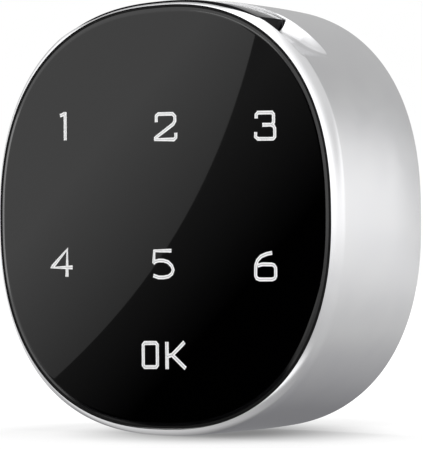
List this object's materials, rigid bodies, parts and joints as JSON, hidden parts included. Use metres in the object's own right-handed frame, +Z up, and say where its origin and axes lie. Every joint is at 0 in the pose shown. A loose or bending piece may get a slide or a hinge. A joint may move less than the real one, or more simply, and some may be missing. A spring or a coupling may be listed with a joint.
{
  "type": "electronic cabinet lock",
  "caption": "Battery keypad lock for a cabinet door: black touch panel in a rounded square metal body, motor gear train, threaded barrel with nut, and a swinging cam.",
  "frame": {"origin": "centre of the door hole, on the door's outer face", "axes": "+Y into the door along the barrel, -Y towards the user, +Z up, +X to the user's right"},
  "size_m": [0.0721, 0.0491, 0.0642],
  "materials": {
    "shell": "satin chrome plated",
    "panel": "black gloss cover glass with printed figures",
    "button": "black gloss",
    "opal": "opal, moulded",
    "board": "green solder mask",
    "led": "clear encapsulated",
    "black_plastic": "black moulded",
    "white_plastic": "natural acetal",
    "steel": "zinc plated",
    "spring_steel": "bright wire",
    "brass": "bright",
    "zinc": "zinc die casting, plated",
    "foam": "closed cell foam",
    "cell": null
  },
  "bodies": {
    "lock_body": {"front_shell": "shell", "touch_panel": "panel", "light_guide": "opal", "touch_board": "board", "led_1": "led", "led_2": "led", "led_3": "led", "led_4": "led", "led_5": "led", "led_6": "led", "led_ok": "led", "chassis": "black_plastic", "contact_block": "black_plastic", "position_switch": "black_plastic", "controller_chip": "black_plastic", "buzzer": "black_plastic", "motor_cap": "white_plastic", "board_screw_1": "steel", "board_screw_2": "steel", "board_screw_3": "steel", "board_screw_4": "steel", "chassis_screw_1": "steel", "chassis_screw_2": "steel", "chassis_screw_3": "steel", "chassis_screw_4": "steel", "base_plate": "steel", "barrel_washer": "steel", "hex_nut": "steel", "motor_can": "steel", "idler_pin_1": "steel", "idler_pin_2": "steel", "stop_pin": "steel", "button_spring_left": "spring_steel", "button_spring_right": "spring_steel", "link_spring": "spring_steel", "negative_spring": "spring_steel", "battery_link_plate": "brass", "positive_plate": "brass", "negative_plate": "brass", "barrel": "zinc", "foam_gasket": "foam", "battery_upper": "cell", "battery_lower": "cell"},
    "cam_group": {"spindle": "zinc", "output_gear": "white_plastic", "cam": "steel", "cam_washer": "steel", "cam_screw": "steel"},
    "idler_group_2": {"idler_gear_2": "white_plastic"},
    "idler_group_1": {"idler_gear_1": "white_plastic"},
    "motor_rotor": {"motor_shaft": "steel", "motor_pinion": "brass"},
    "button_group": {"release_button": "button"}
  },
  "joints": [
    {"name": "cam_turn", "type": "hinge", "parent": "lock_body", "child": "cam_group", "pos_m": [0, 0, 0], "axis": [0, 1, 0], "range_deg": [0, 90]},
    {"name": "idler_2_spin", "type": "hinge", "parent": "lock_body", "child": "idler_group_2", "pos_m": [-0.0055, 0, 0.01123], "axis": [0, 1, 0], "range_deg": [-360, 0]},
    {"name": "idler_1_spin", "type": "hinge", "parent": "lock_body", "child": "idler_group_1", "pos_m": [0.00221, 0, 0.0176], "axis": [0, 1, 0], "range_deg": [0, 1080]},
    {"name": "motor_spin", "type": "hinge", "parent": "lock_body", "child": "motor_rotor", "pos_m": [0.00901, 0, 0.0125], "axis": [0, 1, 0], "range_deg": [-2592, 0]},
    {"name": "button_press", "type": "slide", "parent": "lock_body", "child": "button_group", "axis": [0, 0, -1], "range_m": [0, 0.0018], "stiffness_N_per_m": 250, "springref_m": -0.001, "deforming": ["button_spring_left", "button_spring_right"]}
  ],
  "couplings": [
    {"joint": "idler_2_spin", "follows": "cam_turn", "ratio": -4},
    {"joint": "idler_1_spin", "follows": "cam_turn", "ratio": 12},
    {"joint": "motor_spin", "follows": "cam_turn", "ratio": -28.8}
  ]
}
